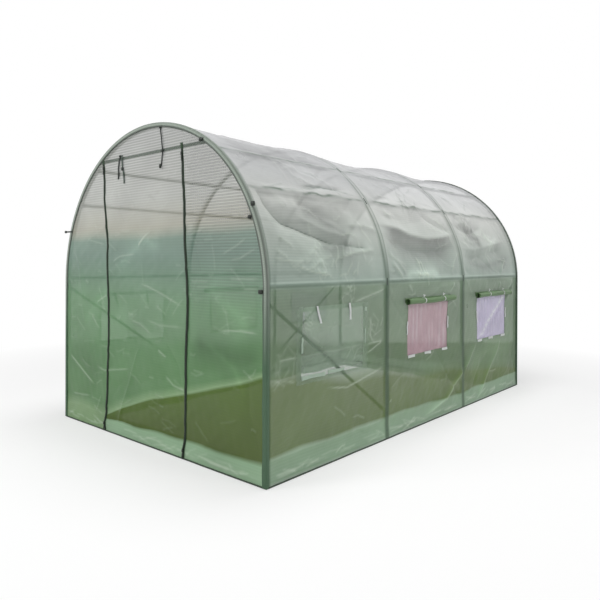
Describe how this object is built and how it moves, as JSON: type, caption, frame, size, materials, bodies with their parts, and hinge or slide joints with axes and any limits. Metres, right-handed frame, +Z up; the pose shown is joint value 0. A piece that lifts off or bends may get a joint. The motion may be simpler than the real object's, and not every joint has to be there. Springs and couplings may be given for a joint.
{
  "type": "polytunnel greenhouse",
  "caption": "Walk-in polytunnel greenhouse: tube hoops and purlins under a translucent woven film cover with a zipped door and netted roll-up side windows.",
  "frame": {"origin": "on the ground at the middle of the tunnel's plan", "axes": "+Y along the tunnel away from the door end, +X to the right as seen by someone facing the door, +Z up"},
  "size_m": [2.0846, 3.501, 2],
  "materials": {
    "frame_tube": "satin grey-green coating",
    "connector": "moulded, matte",
    "cover_film": "translucent woven film, soft sheen",
    "rolled_film": "film rolled in many layers, soft sheen",
    "window_net": "fine knitted net",
    "zip": "coarse plastic zip on dark tape"
  },
  "bodies": {
    "root": {"connectors_1": "connector", "connectors_2": "connector", "connectors_3": "connector", "connectors_4": "connector", "corner_braces": "frame_tube", "door_header": "frame_tube", "door_panel": "cover_film", "door_zips": "zip", "end_base_rails": "frame_tube", "end_ground_flaps": "cover_film", "foot_connectors": "connector", "front_film_left": "cover_film", "front_film_right": "cover_film", "front_film_top": "cover_film", "hoop_1": "frame_tube", "hoop_2": "frame_tube", "hoop_3": "frame_tube", "hoop_4": "frame_tube", "left_closed_flap": "cover_film", "left_crown_purlin": "frame_tube", "left_haunch_purlin": "frame_tube", "left_rolled_flaps": "rolled_film", "left_shoulder_purlin": "frame_tube", "left_wall_film_lower": "cover_film", "left_wall_film_piers": "cover_film", "left_wall_film_upper": "cover_film", "left_window_nets": "window_net", "rear_film": "cover_film", "right_closed_flap": "cover_film", "right_crown_purlin": "frame_tube", "right_haunch_purlin": "frame_tube", "right_rolled_flaps": "rolled_film", "right_shoulder_purlin": "frame_tube", "right_wall_film_lower": "cover_film", "right_wall_film_piers": "cover_film", "right_wall_film_upper": "cover_film", "right_window_nets": "window_net", "roof_film_left_crown": "cover_film", "roof_film_left_lower": "cover_film", "roof_film_left_upper": "cover_film", "roof_film_right_crown": "cover_film", "roof_film_right_lower": "cover_film", "roof_film_right_upper": "cover_film", "side_base_rails": "frame_tube", "side_ground_flaps": "cover_film"}
  },
  "joints": []
}
